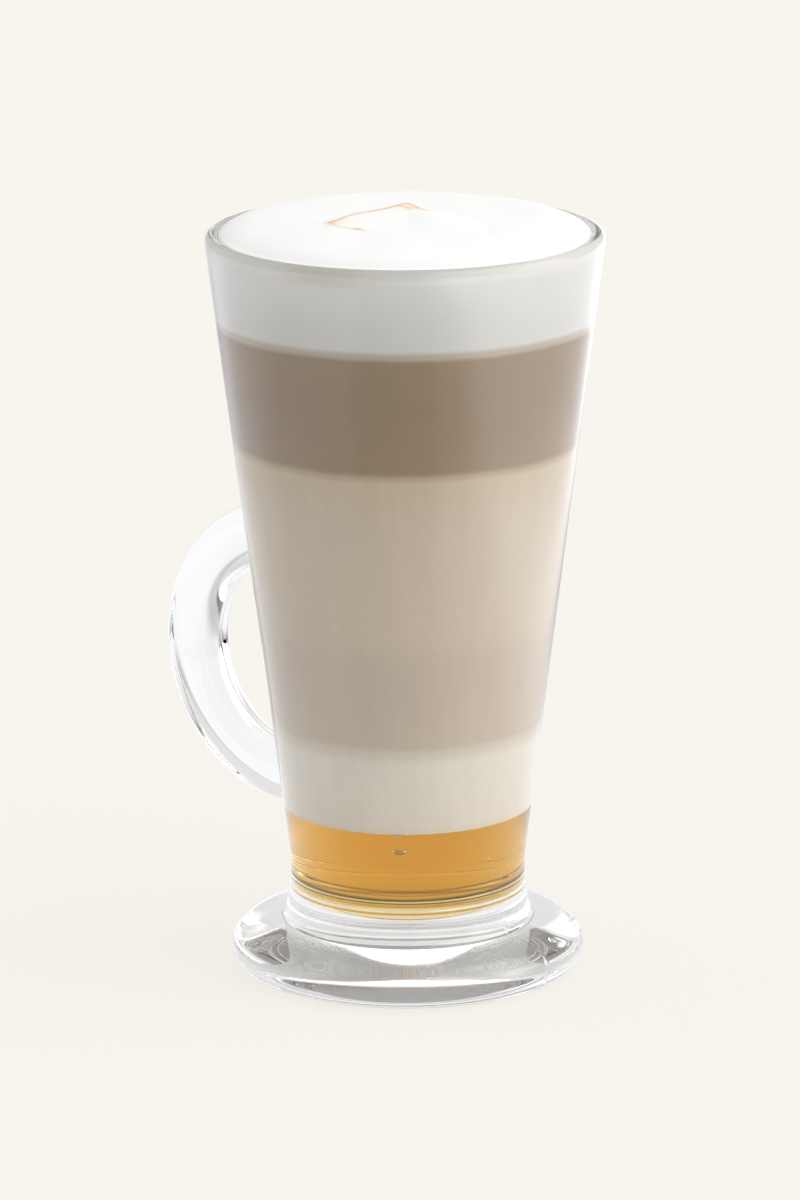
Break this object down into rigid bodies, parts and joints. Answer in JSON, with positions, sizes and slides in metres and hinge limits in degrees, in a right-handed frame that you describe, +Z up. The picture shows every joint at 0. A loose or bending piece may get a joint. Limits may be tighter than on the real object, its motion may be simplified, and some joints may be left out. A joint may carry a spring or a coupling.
{
  "type": "latte in a footed glass mug",
  "caption": "Tall footed clear glass mug with a ring handle, filled with a layered latte: syrup, milk, milky coffee, coffee and a crown of milk foam.",
  "frame": {"origin": "middle of the whole part's footprint, on the surface that the foot stands on", "axes": "+Z up along the mug's axis, -X towards the handle, +Y across the handle's plane"},
  "size_m": [0.0992, 0.0788, 0.1537],
  "materials": {
    "glass": "clear pressed glass, fire polished",
    "syrup": "clear amber syrup",
    "milk": "warm milk, opaque",
    "latte": "milk with a little coffee, opaque",
    "coffee": "coffee with milk, opaque",
    "foam": "fine milk foam, matt"
  },
  "bodies": {
    "root": {"glass": "glass", "syrup": "syrup", "milk": "milk", "latte": "latte", "coffee": "coffee", "foam": "foam"}
  },
  "joints": []
}
